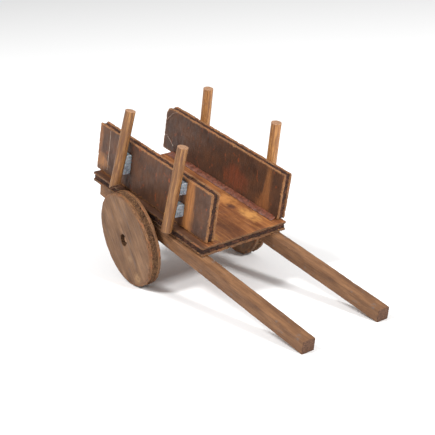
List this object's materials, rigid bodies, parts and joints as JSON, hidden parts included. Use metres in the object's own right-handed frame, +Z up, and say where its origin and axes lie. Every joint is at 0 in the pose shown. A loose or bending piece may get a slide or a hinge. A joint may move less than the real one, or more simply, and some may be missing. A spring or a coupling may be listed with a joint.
{
  "type": "weathered wooden cart",
  "caption": "Small hand-made two-wheeled wooden cart of dark stained plywood with canted disc wheels, rough square shafts and round stakes, resting on its shaft tips.",
  "frame": {"origin": "centre of the bounding box on the floor that the cart parks on", "axes": "+X forward along the cart to the shaft tips, +Y to the cart's left, +Z up from the floor"},
  "size_m": [0.1014, 0.0494, 0.0542],
  "materials": {
    "floor_plywood": "orange-brown stain, worn",
    "dark_plywood": "dark brown stain, worn edges",
    "weathered_stick": "weathered, matte",
    "skewer": "golden stain, dark streaks",
    "wheel_plywood": "dry and grey, ragged rim",
    "hot_glue": "cloudy translucent",
    "stained_glue": "stained over, glossy"
  },
  "bodies": {
    "cart": {"floor_board": "floor_plywood", "right_side_board": "dark_plywood", "left_side_board": "dark_plywood", "right_shaft": "weathered_stick", "left_shaft": "weathered_stick", "right_rear_stake": "skewer", "right_front_stake": "skewer", "left_rear_stake": "skewer", "left_front_stake": "skewer", "right_rear_stake_glue": "hot_glue", "right_front_stake_glue_upper": "hot_glue", "right_front_stake_glue_lower": "hot_glue", "left_rear_stake_glue": "hot_glue", "left_front_stake_glue": "hot_glue", "right_board_glue": "stained_glue", "left_board_glue": "stained_glue", "axle_strip": "weathered_stick", "axle": "skewer", "axle_glue_right": "hot_glue", "axle_glue_left": "hot_glue"},
    "right_wheel": {"right_wheel": "wheel_plywood"},
    "left_wheel": {"left_wheel": "wheel_plywood"}
  },
  "joints": [
    {"name": "right_wheel_turn", "type": "hinge", "parent": "cart", "child": "right_wheel", "pos_m": [-0.02605, -0.0204, 0.01465], "axis": [0.1167, 0.9898, 0.0817], "continuous": true},
    {"name": "left_wheel_turn", "type": "hinge", "parent": "cart", "child": "left_wheel", "pos_m": [-0.02313, 0.02034, 0.015], "axis": [0.1439, 0.9874, 0.0653], "continuous": true}
  ]
}
